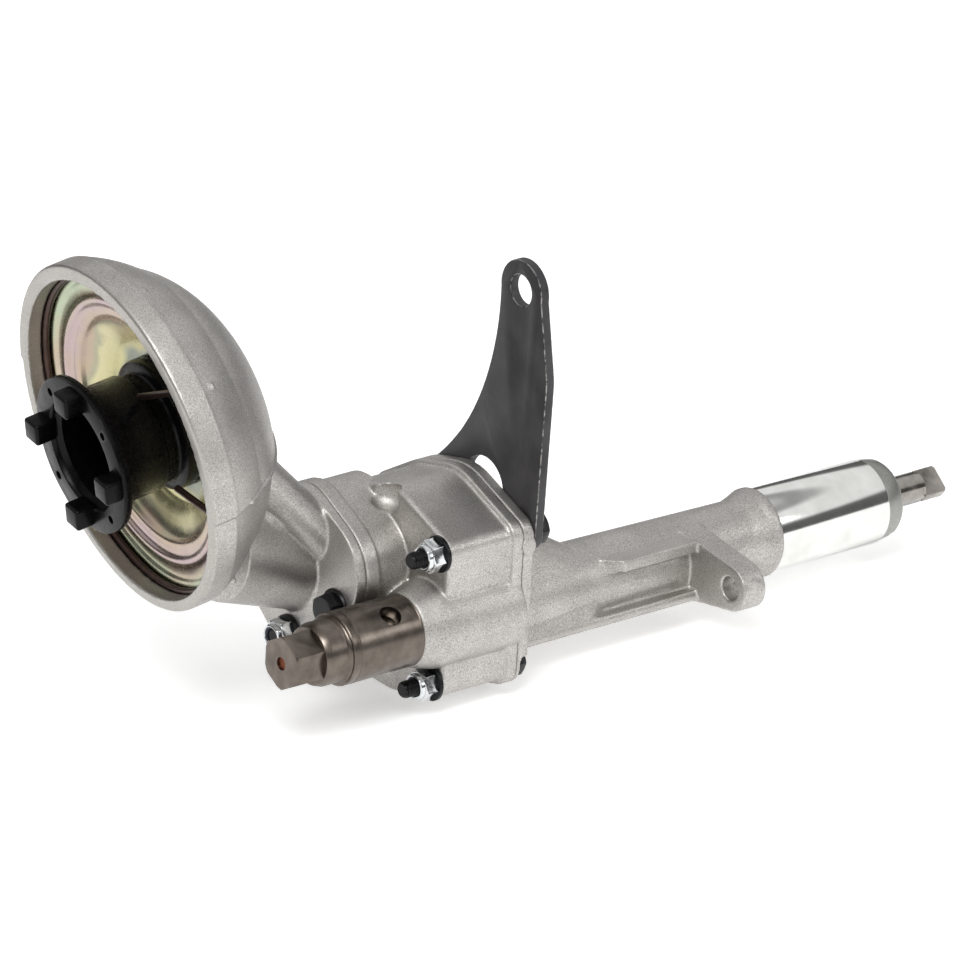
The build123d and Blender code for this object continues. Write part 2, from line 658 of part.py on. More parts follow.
def bell_half(shrink, turn):
    """Half of the bell's outside, turned through 180 degrees from the angle turn."""
    rim = RIM_R - shrink
    dome_r, dome_l = DOME_R - shrink, DOME_DEPTH - shrink
    meet = math.degrees(math.acos((RIM_L + SHOULDER_L - DOME_S) / dome_l))
    dome = EllipticalCenterArc((DOME_S, 0), dome_l, dome_r, 0, arc_size=meet)
    foot = (RIM_L + RIM_BEVEL / 2, rim - RIM_BEVEL / 2)
    half_way = (RIM_L + SHOULDER_L / 2, (rim + (dome @ 1).Y) / 2 + RIM_BEVEL)
    section = make_face([
        Polyline((DOME_S + dome_l, 0), (0, 0), (0, rim - RIM_BEVEL), (RIM_BEVEL, rim), (RIM_L, rim), foot),
        ThreePointArc(foot, half_way, dome @ 1), dome])
    return Rot(turn, 0, 0) * revolve(section, Axis.X, revolution_arc=180)


def bell_cavity():
    """What is hollow in the bell: the bore, the wire's groove and the vault above the strainer."""
    vault_l = DOME_S + DOME_DEPTH - BELL_WALL - SEAT_S
    vault = EllipticalCenterArc((SEAT_S, 0), vault_l, VAULT_R, 0, arc_size=90)
    outline = Polyline(vault @ 0, (-1, 0), (-1, RIM_BORE_R), (SEAT_S, RIM_BORE_R), vault @ 1)
    groove = turned((WIRE_S - WIRE_R, RIM_BORE_R - 1), (WIRE_S - WIRE_R, RIM_BORE_R + WIRE_R),
                    (WIRE_S + WIRE_R, RIM_BORE_R + WIRE_R), (WIRE_S + WIRE_R, RIM_BORE_R - 1))
    return revolve(make_face([outline, vault]), Axis.X) + groove


def neck_loft(x, length, start, start_r, end, end_r):
    """A round neck that leaves x towards -X and drifts from one centre and radius to another."""
    return loft([(across(x) * Pos(*start) * Circle(start_r)).face(),
                 (across(x - length) * Pos(*end) * Circle(end_r)).face()])


def suction_bell():
    bell = BELL_FRAME * (bell_half(PART_STEP, PARTING) + bell_half(0, PARTING + 180))
    bell += neck_loft(BELL_FLANGE_X, DUCT_L, DUCT_AT, DUCT_R, DUCT_BELL_AT, DUCT_BELL_R)
    bell += neck_loft(BELL_FLANGE_X, WEB_L, WEB_AT, WEB_R, WEB_BELL_AT, WEB_R)
    bell += disc(BELL_FLANGE_X - DUCT_L, DUCT_L, LOBE_R, LOBE_AT)
    bell += extrude(across(BELL_FLANGE_X) * bell_flange_outline(), BELL_FLANGE_T)
    bell -= BELL_FRAME * bell_cavity()
    bell -= neck_loft(STUB_X, MOUTH_L, INLET_AT, INLET_R, MOUTH_AT, MOUTH_R)
    for at in [BELL_BOLT_AT, *BELL_STUDS]:
        bell -= disc(BELL_FLANGE_X, BELL_FLANGE_T, BOLT_R + BOLT_ROOM, at)
    return bell


def cover_outline():
    """The (s, radius) points of the dished cover's outer face, from its edge inwards."""
    lip = COVER_S - COVER_LIP
    crest = COVER_S - BEAD_H
    step = COVER_S + COVER_STEP
    middle = COVER_S + COVER_DEPTH
    return [(lip, RIM_BORE_R - SHEET_ROOM), (lip, COVER_EDGE_R), (COVER_S, COVER_EDGE_R - COVER_LIP),
            (COVER_S, BEAD_R + BEAD_W), (crest, BEAD_R + BEAD_W / 3),
            (crest, BEAD_R - BEAD_W / 3), (COVER_S, BEAD_R - BEAD_W),
            (COVER_S, STEP_R), (step, STEP_R - COVER_STEP / 2), (COVER_S + RECESS_S, RECESS_R),
            (middle, RECESS_R - (COVER_DEPTH - RECESS_S)), (middle, COVER_HOLE_R)]


def sheet(points, thickness):
    """A pressed sheet: a softened line through the points, and the same line moved inwards."""
    front = FilletPolyline(*points, radius=PRESS_R)
    back = Pos(thickness, 0) * front
    ends = [Line(front @ 0, back @ 0), Line(front @ 1, back @ 1)]
    return revolve(make_face([front, back, *ends]), Axis.X)


def strainer_cover():
    return BELL_FRAME * sheet(cover_outline(), COVER_T)


def strainer_gauze():
    edge = SEAT_S - GAUZE_T
    points = [(edge, RIM_BORE_R - SHEET_ROOM), (edge, VAULT_R - 1.5), (edge + 8, 46.0),
              (edge + GAUZE_DEPTH - 3, 30.0), (edge + GAUZE_DEPTH, 14.0), (edge + GAUZE_DEPTH, 0)]
    return BELL_FRAME * sheet(points, GAUZE_T)


def on_bell(radius, angle, s):
    """A point in the bell's own frame; the angle runs round its axis from the near side."""
    return (s, *polar(radius, angle))


def wire_along(path):
    return sweep(Plane(path @ 0, z_dir=path % 0) * Circle(WIRE_R), path)


def retaining_wire():
    """The spring wire that holds the cover: an open ring whose two ends turn inwards."""
    ring_r = RIM_BORE_R - 0.35
    start, end = NEAR_SIDE + PRONG_A[0], NEAR_SIDE + PRONG_B[0]
    first = on_bell(ring_r, start, WIRE_S)
    far = on_bell(ring_r, (start + end) / 2 + 180, WIRE_S)
    last = on_bell(ring_r, end, WIRE_S)
    wire = wire_along(ThreePointArc(first, far, last))
    for corner, prong in ((first, PRONG_A), (last, PRONG_B)):
        tip = on_bell(prong[2], NEAR_SIDE + prong[1], WIRE_S - PRONG_RISE)
        wire += wire_along(Line(corner, tip)) + Pos(*corner) * Sphere(WIRE_R)
    return BELL_FRAME * wire


def suction_snorkel():
    middle = COVER_S + COVER_DEPTH
    front = middle - FACE_ROOM
    back = middle + COVER_T + FACE_ROOM
    end = back + SPOOL_T + 2
    ring = RING_S + RING_T
    barrel = turned((RING_S, RING_BORE_R), (RING_S, RING_R - 0.8), (RING_S + 0.8, RING_R),
                    (ring, RING_R), (ring, SNORKEL_R + 1), (ring + 1, SNORKEL_R),
                    (front - SPOOL_T - 3, SNORKEL_R), (front - SPOOL_T, SPOOL_R), (front, SPOOL_R),
                    (front, COVER_HOLE_R - SEATED), (back, COVER_HOLE_R - SEATED), (back, SPOOL_R),
                    (back + SPOOL_T, SPOOL_R), (end, SNORKEL_R), (end, SNORKEL_BORE_R),
                    (ring, SNORKEL_BORE_R), (ring - 1, RING_BORE_R))
    for quarter in range(4):
        lug = Box(LUG_L + LUG_ROOT, SNORKEL_LUG, SNORKEL_LUG, align=(Align.MAX, Align.CENTER, Align.CENTER))
        lug = Pos(RING_S + LUG_ROOT, LUG_AT_R, 0) * lug
        barrel += Rot(NEAR_SIDE + SNORKEL_TURN + 90 * quarter, 0, 0) * lug
    return BELL_FRAME * barrel


NODES = [drive_housing, pump_body, suction_bell, support_bracket, drive_shaft, drive_gear,
         gear_key, driven_gear, idler_pin, upper_bush, lower_bush, relief_barrel, relief_cap,
         relief_piston, relief_spring, relief_plug, strainer_gauze, strainer_cover,
         retaining_wire, suction_snorkel, body_bolts, body_nuts, body_washers, bell_bolt,
         bell_studs, bell_nuts, bell_washers]

os.makedirs("parts", exist_ok=True)
for make in NODES:
    export_step(make(), f"parts/{make.__name__}.step")
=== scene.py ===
# %% [markdown]
# # An engine oil pump on a white studio table
# The pump's pieces come ready made from the construction model, at their real size and in
# metres, so this notebook only dresses them: it softens the castings, adds the small things
# that a construction model leaves out, and gives every surface the finish of the real metal,
# rubber or plastic. The first cell loads the pieces and keeps the box that they fill, because
# nothing that is added later may stand out of it.

# %% Load the pump
import math

import bpy
from mathutils import Matrix, Vector


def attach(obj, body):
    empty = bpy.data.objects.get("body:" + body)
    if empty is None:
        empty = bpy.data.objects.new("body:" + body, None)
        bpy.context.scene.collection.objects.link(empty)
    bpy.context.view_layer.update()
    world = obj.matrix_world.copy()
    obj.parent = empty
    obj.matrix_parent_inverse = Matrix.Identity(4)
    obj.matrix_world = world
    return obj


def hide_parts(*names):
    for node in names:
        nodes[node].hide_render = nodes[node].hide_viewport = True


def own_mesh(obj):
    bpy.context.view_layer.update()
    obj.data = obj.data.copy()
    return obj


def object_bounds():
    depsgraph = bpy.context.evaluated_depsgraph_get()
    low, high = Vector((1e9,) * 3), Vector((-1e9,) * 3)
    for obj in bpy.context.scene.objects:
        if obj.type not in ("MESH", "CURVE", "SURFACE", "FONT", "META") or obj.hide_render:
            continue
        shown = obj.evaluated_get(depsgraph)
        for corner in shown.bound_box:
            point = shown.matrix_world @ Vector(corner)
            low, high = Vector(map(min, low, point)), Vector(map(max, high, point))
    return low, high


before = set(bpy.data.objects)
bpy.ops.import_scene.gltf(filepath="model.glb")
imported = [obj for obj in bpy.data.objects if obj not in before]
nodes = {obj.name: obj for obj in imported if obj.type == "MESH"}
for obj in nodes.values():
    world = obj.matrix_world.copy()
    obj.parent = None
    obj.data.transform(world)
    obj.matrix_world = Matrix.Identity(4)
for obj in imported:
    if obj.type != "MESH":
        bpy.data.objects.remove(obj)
CAD_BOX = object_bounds()
MM = 0.001
print("pieces loaded:", len(nodes), "box:", [round(v, 4) for v in (*CAD_BOX[0], *CAD_BOX[1])])

# %% [markdown]
# ## The camera
# The photograph is a catalogue shot made from far away with a long lens, so that parallel edges
# stay nearly parallel. The eye stands four metres off, to the front left and above the pump. Its
# right and up directions are written down as two unit vectors; the third one, which points back
# from the pump to the eye, is their cross product.

# %% Make the camera
EYE = Vector((-2.5086, -2.9605, 1.4075))
EYE_RIGHT = Vector((0.77845, -0.62770, 0.0))
EYE_UP = Vector((0.21155, 0.26236, 0.9415))
EYE_BACK = EYE_RIGHT.cross(EYE_UP)
LENS = 450.0
SENSOR = 36.0

bpy.ops.object.camera_add()
camera = bpy.context.object
camera.name = "catalogue_camera"
camera.matrix_world = Matrix.Translation(EYE) @ Matrix((EYE_RIGHT, EYE_UP, EYE_BACK)).transposed().to_4x4()
camera.data.lens = LENS
camera.data.sensor_width = SENSOR
camera.data.clip_end = 100.0
bpy.context.scene.camera = camera
bpy.context.scene.view_settings.view_transform = "Standard"
print("eye to pump, in metres:", round(EYE.length, 2))

# %% [markdown]
# ## Small helpers for materials
# Colours are picked as sRGB hex values, as a paint chart gives them, and Blender's sockets want
# linear light, so one function turns the one into the other. Another adds a node to a material
# with its settings and links in one line, which keeps the recipes below short. Most noises keep
# to the middle of their range, so MIDDLING is the part of it that the recipes spread out.

# %% Colours and nodes
NOISE, REMAP, BLEND, MATHS = "ShaderNodeTexNoise", "ShaderNodeMapRange", "ShaderNodeMix", "ShaderNodeMath"
COLOURS = {"data_type": "RGBA"}
MIDDLING = {"From_Min": 0.3, "From_Max": 0.7}


def linear(hex_colour):
    """An sRGB hex value as linear light with full alpha."""
    channels = [int(hex_colour[i:i + 2], 16) / 255 for i in (0, 2, 4)]
    light = [c / 12.92 if c <= 0.04045 else ((c + 0.055) / 1.055) ** 2.4 for c in channels]
    return (*light, 1.0)


def feed(node, **inputs):
    """Sets a node's inputs. Each is a value, a socket, or a node whose live output is linked."""
    for key, value in inputs.items():
        by_number = key[0] == "i" and key[1:].isdigit()
        socket = node.inputs[int(key[1:])] if by_number else node.inputs[key.replace("_", " ")]
        if isinstance(value, bpy.types.Node):
            value = next(output for output in value.outputs if output.enabled)
        if isinstance(value, bpy.types.NodeSocket):
            node.id_data.links.new(value, socket)
        else:
            socket.default_value = value
    return node


def add_node(material, kind, settings=None, **inputs):
    """Adds a node with its settings and its inputs."""
    made = material.node_tree.nodes.new(kind)
    for key, value in (settings or {}).items():
        setattr(made, key, value)
    return feed(made, **inputs)


print("a middle grey in linear light:", round(linear("808080")[0], 3))

# %% [markdown]
# ## Floor, world and lamps
# The picture has a white ground. The floor is a pale matt sheet that keeps the pump's shadow,
# and it glows a little for the rays that come from the camera, from metal and from glass, so
# that its colour ends at plain white. The room is a light tent: a bright ceiling, a dark gap, a
# bright belt of cloth all round and a dim skirting above the floor. Those belts are what turned
# metal shows as long light and dark stripes, and they are what makes it look like metal.

# %% Make the floor
FLOOR_SIZE = 3.4
FLOOR_WHITE = "F2F2F2"
FLOOR_GLOW = 0.42
FLOOR_SHIFT = 0.4

bpy.ops.object.select_all(action="DESELECT")
bpy.ops.mesh.primitive_plane_add(size=FLOOR_SIZE, location=(CAD_BOX[0].x * FLOOR_SHIFT, 0, CAD_BOX[0].z))
floor = bpy.context.object
floor.name = "studio_floor"

paper = bpy.data.materials.new("studio_paper")
paper.use_nodes = True
paper.node_tree.nodes.clear()
seen = add_node(paper, "ShaderNodeLightPath")
by_eye = add_node(paper, MATHS, {"operation": "MAXIMUM"},
                  i0=seen.outputs["Is Camera Ray"], i1=seen.outputs["Is Glossy Ray"])
by_eye = add_node(paper, MATHS, {"operation": "MAXIMUM"}, i0=by_eye, i1=seen.outputs["Is Transmission Ray"])
glow = add_node(paper, MATHS, {"operation": "MULTIPLY"}, i0=by_eye, i1=FLOOR_GLOW)
matt = add_node(paper, "ShaderNodeBsdfDiffuse", Color=linear(FLOOR_WHITE))
light = add_node(paper, "ShaderNodeEmission", Color=linear("FFFFFF"), Strength=glow)
both = add_node(paper, "ShaderNodeAddShader", i0=matt, i1=light)
add_node(paper, "ShaderNodeOutputMaterial", Surface=both)
floor.data.materials.append(paper)
print("floor:", FLOOR_SIZE, "m wide, nodes in its paper:", len(paper.node_tree.nodes))

# %% Hang the light tent
# Each belt starts at a height, which is the sine of its angle above the horizon.
# The side towards the bell is a little dimmer than the side towards the tang.
BELTS = [(0.0, 0.12), (0.27, 0.15), (0.34, 1.0), (0.64, 1.05), (0.70, 0.42), (0.76, 0.45), (0.82, 0.95)]
DIM_SIDE, LIT_SIDE = 0.8, 0.9

room = bpy.data.worlds.new("light_tent")
bpy.context.scene.world = room
room.use_nodes = True
room.node_tree.nodes.clear()
way = add_node(room, "ShaderNodeTexCoord")
split = add_node(room, "ShaderNodeSeparateXYZ", Vector=way.outputs["Generated"])
belts = add_node(room, "ShaderNodeValToRGB", Fac=split.outputs["Z"])
ramp = belts.color_ramp
for number, (height, level) in enumerate(BELTS):
    stop = ramp.elements[number] if number < 2 else ramp.elements.new(height)
    stop.position, stop.color = height, (level, level, level, 1)
side = add_node(room, REMAP, Value=split.outputs["X"],
                From_Min=-0.9, From_Max=0.3, To_Min=DIM_SIDE, To_Max=LIT_SIDE)
sky = add_node(room, "ShaderNodeBackground", Color=belts.outputs["Color"], Strength=side)
add_node(room, "ShaderNodeOutputWorld", Surface=sky)
print("belts of light:", len(ramp.elements))

# %% [markdown]
# ## The lamps
# Two soft boxes give the light a direction. A big one hangs above and to the left, where the
# photograph's highlights on the bell and the body come from. A long narrow one stands lower, to
# the right of the sleeve. Each lamp is aimed at the middle of the pump.

# %% Hang the lamps
MIDDLE = (CAD_BOX[0] + CAD_BOX[1]) / 2


def soft_box(name, place, width, height, watts):
    """A rectangular lamp at place, aimed at the middle of the pump."""
    bpy.ops.object.light_add(type="AREA", location=place)
    lamp = bpy.context.object
    lamp.name = name
    lamp.data.shape = "RECTANGLE"
    lamp.data.size, lamp.data.size_y = width, height
    lamp.data.energy = watts
    lamp.rotation_mode = "QUATERNION"
    lamp.rotation_quaternion = (Vector(place) - MIDDLE).to_track_quat("Z", "Y")


soft_box("ceiling_box", (-1.1, -0.8, 1.4), 0.8, 0.8, 18)
soft_box("band_box", (0.6, -1.4, 0.8), 1.2, 0.3, 4)
print("lamps aimed at, in metres:", [round(v, 3) for v in MIDDLE])

# %% [markdown]
# ## How the new pieces are made
# Most pieces on a pump are turned or hexagonal, so one helper builds them as by hand: a circle
# is added, and its edge is extruded and scaled again and again along the axis. A circle of six
# points gives a nut in the same way. A second helper makes the few square blocks. Two matrices
# put such a piece on a line beside the shaft, or on the bell's own tilted axis. The sizes are the
# construction model's, in millimetres.

# %% Places
BELL_AXIS = Vector((0.9728, -0.1284, 0.1936)).normalized()
BELL_AT = Vector((-248.5, 34.5, 78.8)) * MM
BELL_UP = (Vector((0, 0, 1)) - BELL_AXIS * BELL_AXIS.z).normalized()
BELL_SIDE = BELL_UP.cross(BELL_AXIS)
ON_BELL = Matrix.Translation(BELL_AT) @ Matrix((BELL_SIDE, BELL_UP, BELL_AXIS)).transposed().to_4x4()


def turned_about(axis, degrees):
    """A turn about an axis."""
    return Matrix.Rotation(math.radians(degrees), 4, axis)


def moved(x, y, z):
    """A move in millimetres."""
    return Matrix.Translation((x * MM, y * MM, z * MM))


def beside_shaft(y, z, turn=0.0):
    """The place of a piece on a line parallel to the shaft, turned about that line by degrees."""
    basis = Matrix(((0, 0, 1), (1, 0, 0), (0, 1, 0))).to_4x4()
    return moved(0, y, z) @ basis @ turned_about("Z", turn)


print("bell's tilt from the shaft, in degrees:", round(math.degrees(BELL_AXIS.angle(Vector((1, 0, 0)))), 1))

# %% Stacked pieces
def only(piece):
    """Selects one piece and makes it the active one."""
    bpy.ops.object.select_all(action="DESELECT")
    piece.select_set(True)
    bpy.context.view_layer.objects.active = piece


def stacked(name, outline, place, sides=96, ring=False):
    """A piece stacked from circles: (height, radius) steps along its axis, in millimetres.

    A ring is hollow, and its outline comes back to where it started."""
    bpy.ops.object.select_all(action="DESELECT")
    bpy.ops.mesh.primitive_circle_add(vertices=sides, radius=outline[0][1] * MM,
                                      fill_type="NOTHING" if ring else "NGON")
    piece = bpy.context.object
    piece.name = name
    bpy.ops.object.mode_set(mode="EDIT")
    bpy.ops.transform.translate(value=(0, 0, outline[0][0] * MM))
    for (height, radius), (next_height, next_radius) in zip(outline, outline[1:]):
        bpy.ops.mesh.extrude_region_move(
            TRANSFORM_OT_translate={"value": (0, 0, (next_height - height) * MM)})
        grown = next_radius / radius
        bpy.ops.transform.resize(value=(grown, grown, 1))
    bpy.ops.mesh.select_all(action="SELECT")
    bpy.ops.mesh.remove_doubles(threshold=0.001 * MM)
    bpy.ops.mesh.normals_make_consistent(inside=False)
    bpy.ops.object.mode_set(mode="OBJECT")
    piece.matrix_world = place
    bpy.ops.object.transform_apply(location=True, rotation=True, scale=True)
    return piece


# %% Copies, changes and finishes
def apply_modifier(piece, kind, **settings):
    """Adds a modifier with its settings and applies it."""
    only(piece)
    added = piece.modifiers.new(kind.lower(), kind)
    for key, value in settings.items():
        setattr(added, key, value)
    bpy.ops.object.modifier_apply(modifier=added.name)


def merged_copy(node, name):
    """A copy of a CAD node whose loose triangles are merged into one skin."""
    piece = nodes[node].copy()
    piece.data = nodes[node].data.copy()
    piece.name = name
    piece.parent = None
    for key in list(piece.keys()):
        del piece[key]
    bpy.context.collection.objects.link(piece)
    only(piece)
    bpy.ops.object.mode_set(mode="EDIT")
    bpy.ops.mesh.select_all(action="SELECT")
    bpy.ops.mesh.remove_doubles(threshold=0.002 * MM)
    bpy.ops.mesh.customdata_custom_splitnormals_clear()
    bpy.ops.object.mode_set(mode="OBJECT")
    return piece


def add_finish(piece, material, node=None, body="housing", smooth=35):
    """Gives a piece its material and its body, and hides the node that it stands for."""
    only(piece)
    bpy.ops.object.shade_smooth_by_angle(angle=math.radians(smooth))
    piece.data.materials.clear()
    piece.data.materials.append(material)
    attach(piece, body)
    if node:
        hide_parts(node)
    return piece


# %% [markdown]
# ## Cast aluminium
# The housing, the pump body and the bell are aluminium castings that were blasted with grit.
# That leaves a silver grey skin with a fine sparkle: every dent of the grit is a tiny mirror
# that looks somewhere else. The skin is a metal with middling roughness; a fine noise shifts its
# brightness and bumps it, and a wide one lays the faint clouds that every casting has.

# %% The cast aluminium
# Real grit leaves dents of one or two tenths of a millimetre. They are drawn wider, to show.
GRIT = 0.42 * MM
CLOUD = 12 * MM
CAST_LIGHT, CAST_DARK = "D2CFCB", "8F8C88"


def metal(name, colour, rough, metallic=1.0):
    """A new material with a metal's three constants set."""
    made = bpy.data.materials.new(name)
    made.use_nodes = True
    shader = made.node_tree.nodes["Principled BSDF"]
    shader.inputs["Base Color"].default_value = linear(colour)
    shader.inputs["Roughness"].default_value = rough
    shader.inputs["Metallic"].default_value = metallic
    return made, shader, add_node(made, "ShaderNodeTexCoord").outputs["Object"]


def cast_aluminium(name, light, dark, rough, dents):
    """A blasted or cut casting: rough is its roughness, dents the strength of its bumps."""
    skin, shader, place = metal(name, light, rough)
    grit = add_node(skin, NOISE, Vector=place, Scale=1 / GRIT, Detail=3)
    cloud = add_node(skin, NOISE, Vector=place, Scale=1 / CLOUD, Detail=4)
    cloud = add_node(skin, REMAP, Value=cloud, **MIDDLING, To_Min=-0.12, To_Max=0.12)
    sparkle = add_node(skin, REMAP, Value=grit, **MIDDLING, To_Min=0.1, To_Max=0.95)
    tone = add_node(skin, MATHS, {"operation": "ADD", "use_clamp": True}, i0=sparkle, i1=cloud)
    feed(shader,
         Base_Color=add_node(skin, BLEND, COLOURS, Factor=tone, i6=linear(dark), i7=linear(light)),
         Roughness=add_node(skin, REMAP, Value=grit, **MIDDLING, To_Min=rough + 0.1, To_Max=rough - 0.1),
         Normal=add_node(skin, "ShaderNodeBump", Height=grit, Strength=dents, Distance=0.2 * MM))
    return skin


BLASTED = cast_aluminium("blasted_cast_aluminium", CAST_LIGHT, CAST_DARK, 0.46, 0.5)
FACED = cast_aluminium("faced_cast_aluminium", "B9B6B1", "9A9792", 0.4, 0.12)
print("cast finishes:", BLASTED.name, FACED.name)

# %% [markdown]
# ## The castings' soft edges
# A construction model has knife edges, and a casting has none: molten metal draws every corner
# round. So each casting gets a skin. It is a merged copy of the construction piece, joined with
# the small things that the mould leaves, such as the round marks of the ejector pins, and then
# remeshed in voxels of about half a millimetre. The remesh melts all of that into one skin, and
# a few rounds of smoothing draw its edges round. Machined faces get their own finish afterwards.

# %% Cast skins
VOXEL = 0.55 * MM
MOST_TRIANGLES = 190000


def cut_by(piece, tool, operation="DIFFERENCE"):
    """Cuts a piece by a tool, or keeps what lies inside it, and takes the tool away."""
    apply_modifier(piece, "BOOLEAN", object=tool, operation=operation, solver="EXACT")
    bpy.data.objects.remove(tool)


def joined(piece, *others):
    """Joins other pieces to a piece."""
    only(piece)
    for other in others:
        other.select_set(True)
    bpy.ops.object.join()
    return piece


def cast_skin(node, name, extras=(), cuts=(), rounds=3):
    """The soft skin of a cast node, with the extras melted into it and the cuts taken out."""
    piece = merged_copy(node, name)
    for cut in cuts:
        cut_by(piece, cut)
    if extras:
        joined(piece, *extras)
    apply_modifier(piece, "REMESH", mode="VOXEL", voxel_size=VOXEL)
    apply_modifier(piece, "SMOOTH", factor=0.5, iterations=rounds)
    triangles = sum(len(face.vertices) - 2 for face in piece.data.polygons)
    if triangles > MOST_TRIANGLES:
        apply_modifier(piece, "DECIMATE", ratio=MOST_TRIANGLES / triangles)
    add_finish(piece, BLASTED, node, smooth=60)
    print(name, "triangles:", sum(len(face.vertices) - 2 for face in piece.data.polygons))
    return piece


def pin_mark(name, height, radius, lowest, highest, place):
    """A round stub that an ejector pin or a gate left on the casting."""
    edge = height * 0.3
    return stacked(name, [(lowest, radius), (highest - edge, radius), (highest, radius - edge)], place, 24)


def on_the_bell(angle, depth):
    """The place of a stub that stands out of the bell's side."""
    return ON_BELL @ turned_about("Z", angle) @ moved(0, 0, depth) @ turned_about("Y", 90)


# %% Plain blocks
def block(name, sides, place, bevel=0.0):
    """A block with the given sides in millimetres, bevelled if asked, moved to its place."""
    bpy.ops.object.select_all(action="DESELECT")
    bpy.ops.mesh.primitive_cube_add(size=1)
    piece = bpy.context.object
    piece.name = name
    bpy.ops.transform.resize(value=tuple(side * MM for side in sides))
    bpy.ops.object.transform_apply(location=True, rotation=True, scale=True)
    if bevel:
        apply_modifier(piece, "BEVEL", width=bevel * MM, segments=4)
    piece.matrix_world = place
    bpy.ops.object.transform_apply(location=True, rotation=True, scale=True)
    return piece


# %% The bell
# The mould's two halves met in a plane through the bell's axis. The seam stands proud: it is a
# thin slice of the bell that is grown by two hundredths.
PARTING, RIDGE_GROWN = 191.3, 1.02
bell_marks = [pin_mark("mark_1", 1.0, 1.1, 55, 61.9, on_the_bell(109.5, 10.6)),
              pin_mark("mark_2", 1.0, 1.2, 55, 60.9, on_the_bell(148.5, 13.0)),
              pin_mark("mark_3", 1.0, 1.1, 55, 60.8, on_the_bell(-133.0, 12.4))]
ridge = merged_copy("suction_bell", "parting_ridge")
bpy.ops.transform.resize(value=(RIDGE_GROWN,) * 3, center_override=ON_BELL @ Vector((0, 0, 10 * MM)))
bpy.ops.object.transform_apply(location=True, rotation=True, scale=True)
slab = block("ridge_slab", (60, 1.8, 60), ON_BELL @ turned_about("Z", PARTING) @ moved(50, 0, 46.5))
cut_by(ridge, slab, "INTERSECT")
print("parting ridge faces:", len(ridge.data.polygons))
bell_skin = cast_skin("suction_bell", "bell_casting", bell_marks + [ridge])
bell_skin.data.materials.append(FACED)
RIM_FACE, BORE_R, BORE_DEPTH = 0.8 * MM, 58.2 * MM, 11 * MM
into_bell = ON_BELL.inverted()
for face in bell_skin.data.polygons:
    spot = into_bell @ face.center
    if spot.z < RIM_FACE or (spot.xy.length < BORE_R and spot.z < BORE_DEPTH):
        face.material_index = 1

# %% The pump body
# The mould leaves a scooped trough that runs down between the round stub and the block.
SCOOP_AT, SCOOP_RUN = moved(-160.5, 0.5, 49.0), Vector((9, -14, -2))
SCOOP_RADII = (7.0 * MM, 4.6 * MM, 5.2 * MM)
bpy.ops.object.select_all(action="DESELECT")
bpy.ops.mesh.primitive_uv_sphere_add(segments=48, ring_count=24, radius=1)
scoop = bpy.context.object
bpy.ops.transform.resize(value=SCOOP_RADII)
bpy.ops.object.transform_apply(location=True, rotation=True, scale=True)
scoop.matrix_world = SCOOP_AT @ SCOOP_RUN.to_track_quat("X", "Z").to_matrix().to_4x4()
cast_skin("pump_body", "body_casting", cuts=[scoop], rounds=5)

# %% The drive housing, up to its collar
side_mark = pin_mark("mark_4", 0.8, 3.0, 20, 34.9, moved(-128.0, 0, 33.6) @ turned_about("X", 90))
ear_mark = pin_mark("mark_5", 0.8, 3.2, 34, 42.1, moved(-35.4, 0, -1.0) @ turned_about("X", 90))
housing_skin = cast_skin("drive_housing", "housing_casting", [side_mark, ear_mark])

# %% [markdown]
# ## The turned sleeve
# The sleeve in front of the collar is turned and ground, with crisp edges, so the casting is cut
# off just behind the collar's face, and the collar, the sleeve and its nose are stacked anew from
# circles. The sleeve shines like a mirror that is slightly drawn out. The nose in front of it is
# only turned, so it stays matt, and a small notch is cut into its rim.

# %% The sleeve and its nose
CUT_OFF_X = -1.5 * MM
only(housing_skin)
bpy.ops.object.mode_set(mode="EDIT")
bpy.ops.mesh.select_all(action="SELECT")
bpy.ops.mesh.bisect(plane_co=(CUT_OFF_X, 0, 0), plane_no=(1, 0, 0), clear_outer=True, use_fill=True)
bpy.ops.object.mode_set(mode="OBJECT")

GROUND, ground_shader, ground_place = metal("ground_sleeve_aluminium", "E4E4E1", 0.14)
# Grinding lines are a few hundredths of a millimetre apart. They are drawn wider, to show at all.
GRINDING_LINE = 0.25 * MM
stretch = add_node(GROUND, "ShaderNodeMapping", Vector=ground_place, Scale=(1, 0.05, 0.05))
lines = add_node(GROUND, NOISE, Vector=stretch, Scale=1 / GRINDING_LINE, Detail=4)
smudge = add_node(GROUND, NOISE, Vector=ground_place, Scale=1 / (9 * MM), Detail=5)
wear = add_node(GROUND, MATHS, {"operation": "MULTIPLY"}, i0=lines, i1=smudge)
shade = add_node(GROUND, REMAP, Value=smudge, From_Min=0.35, From_Max=0.65)
feed(ground_shader,
     Roughness=add_node(GROUND, REMAP, Value=wear, From_Min=0.1, From_Max=0.4, To_Min=0.1, To_Max=0.13),
     Base_Color=add_node(GROUND, BLEND, COLOURS, Factor=shade, i6=linear("DADAD6"), i7=linear("E8E8E5")),
     Normal=add_node(GROUND, "ShaderNodeBump", Height=lines, Strength=0.06, Distance=0.05 * MM))
TURNED = cast_aluminium("turned_matt_aluminium", "A9A9A5", "8B8B87", 0.42, 0.1)

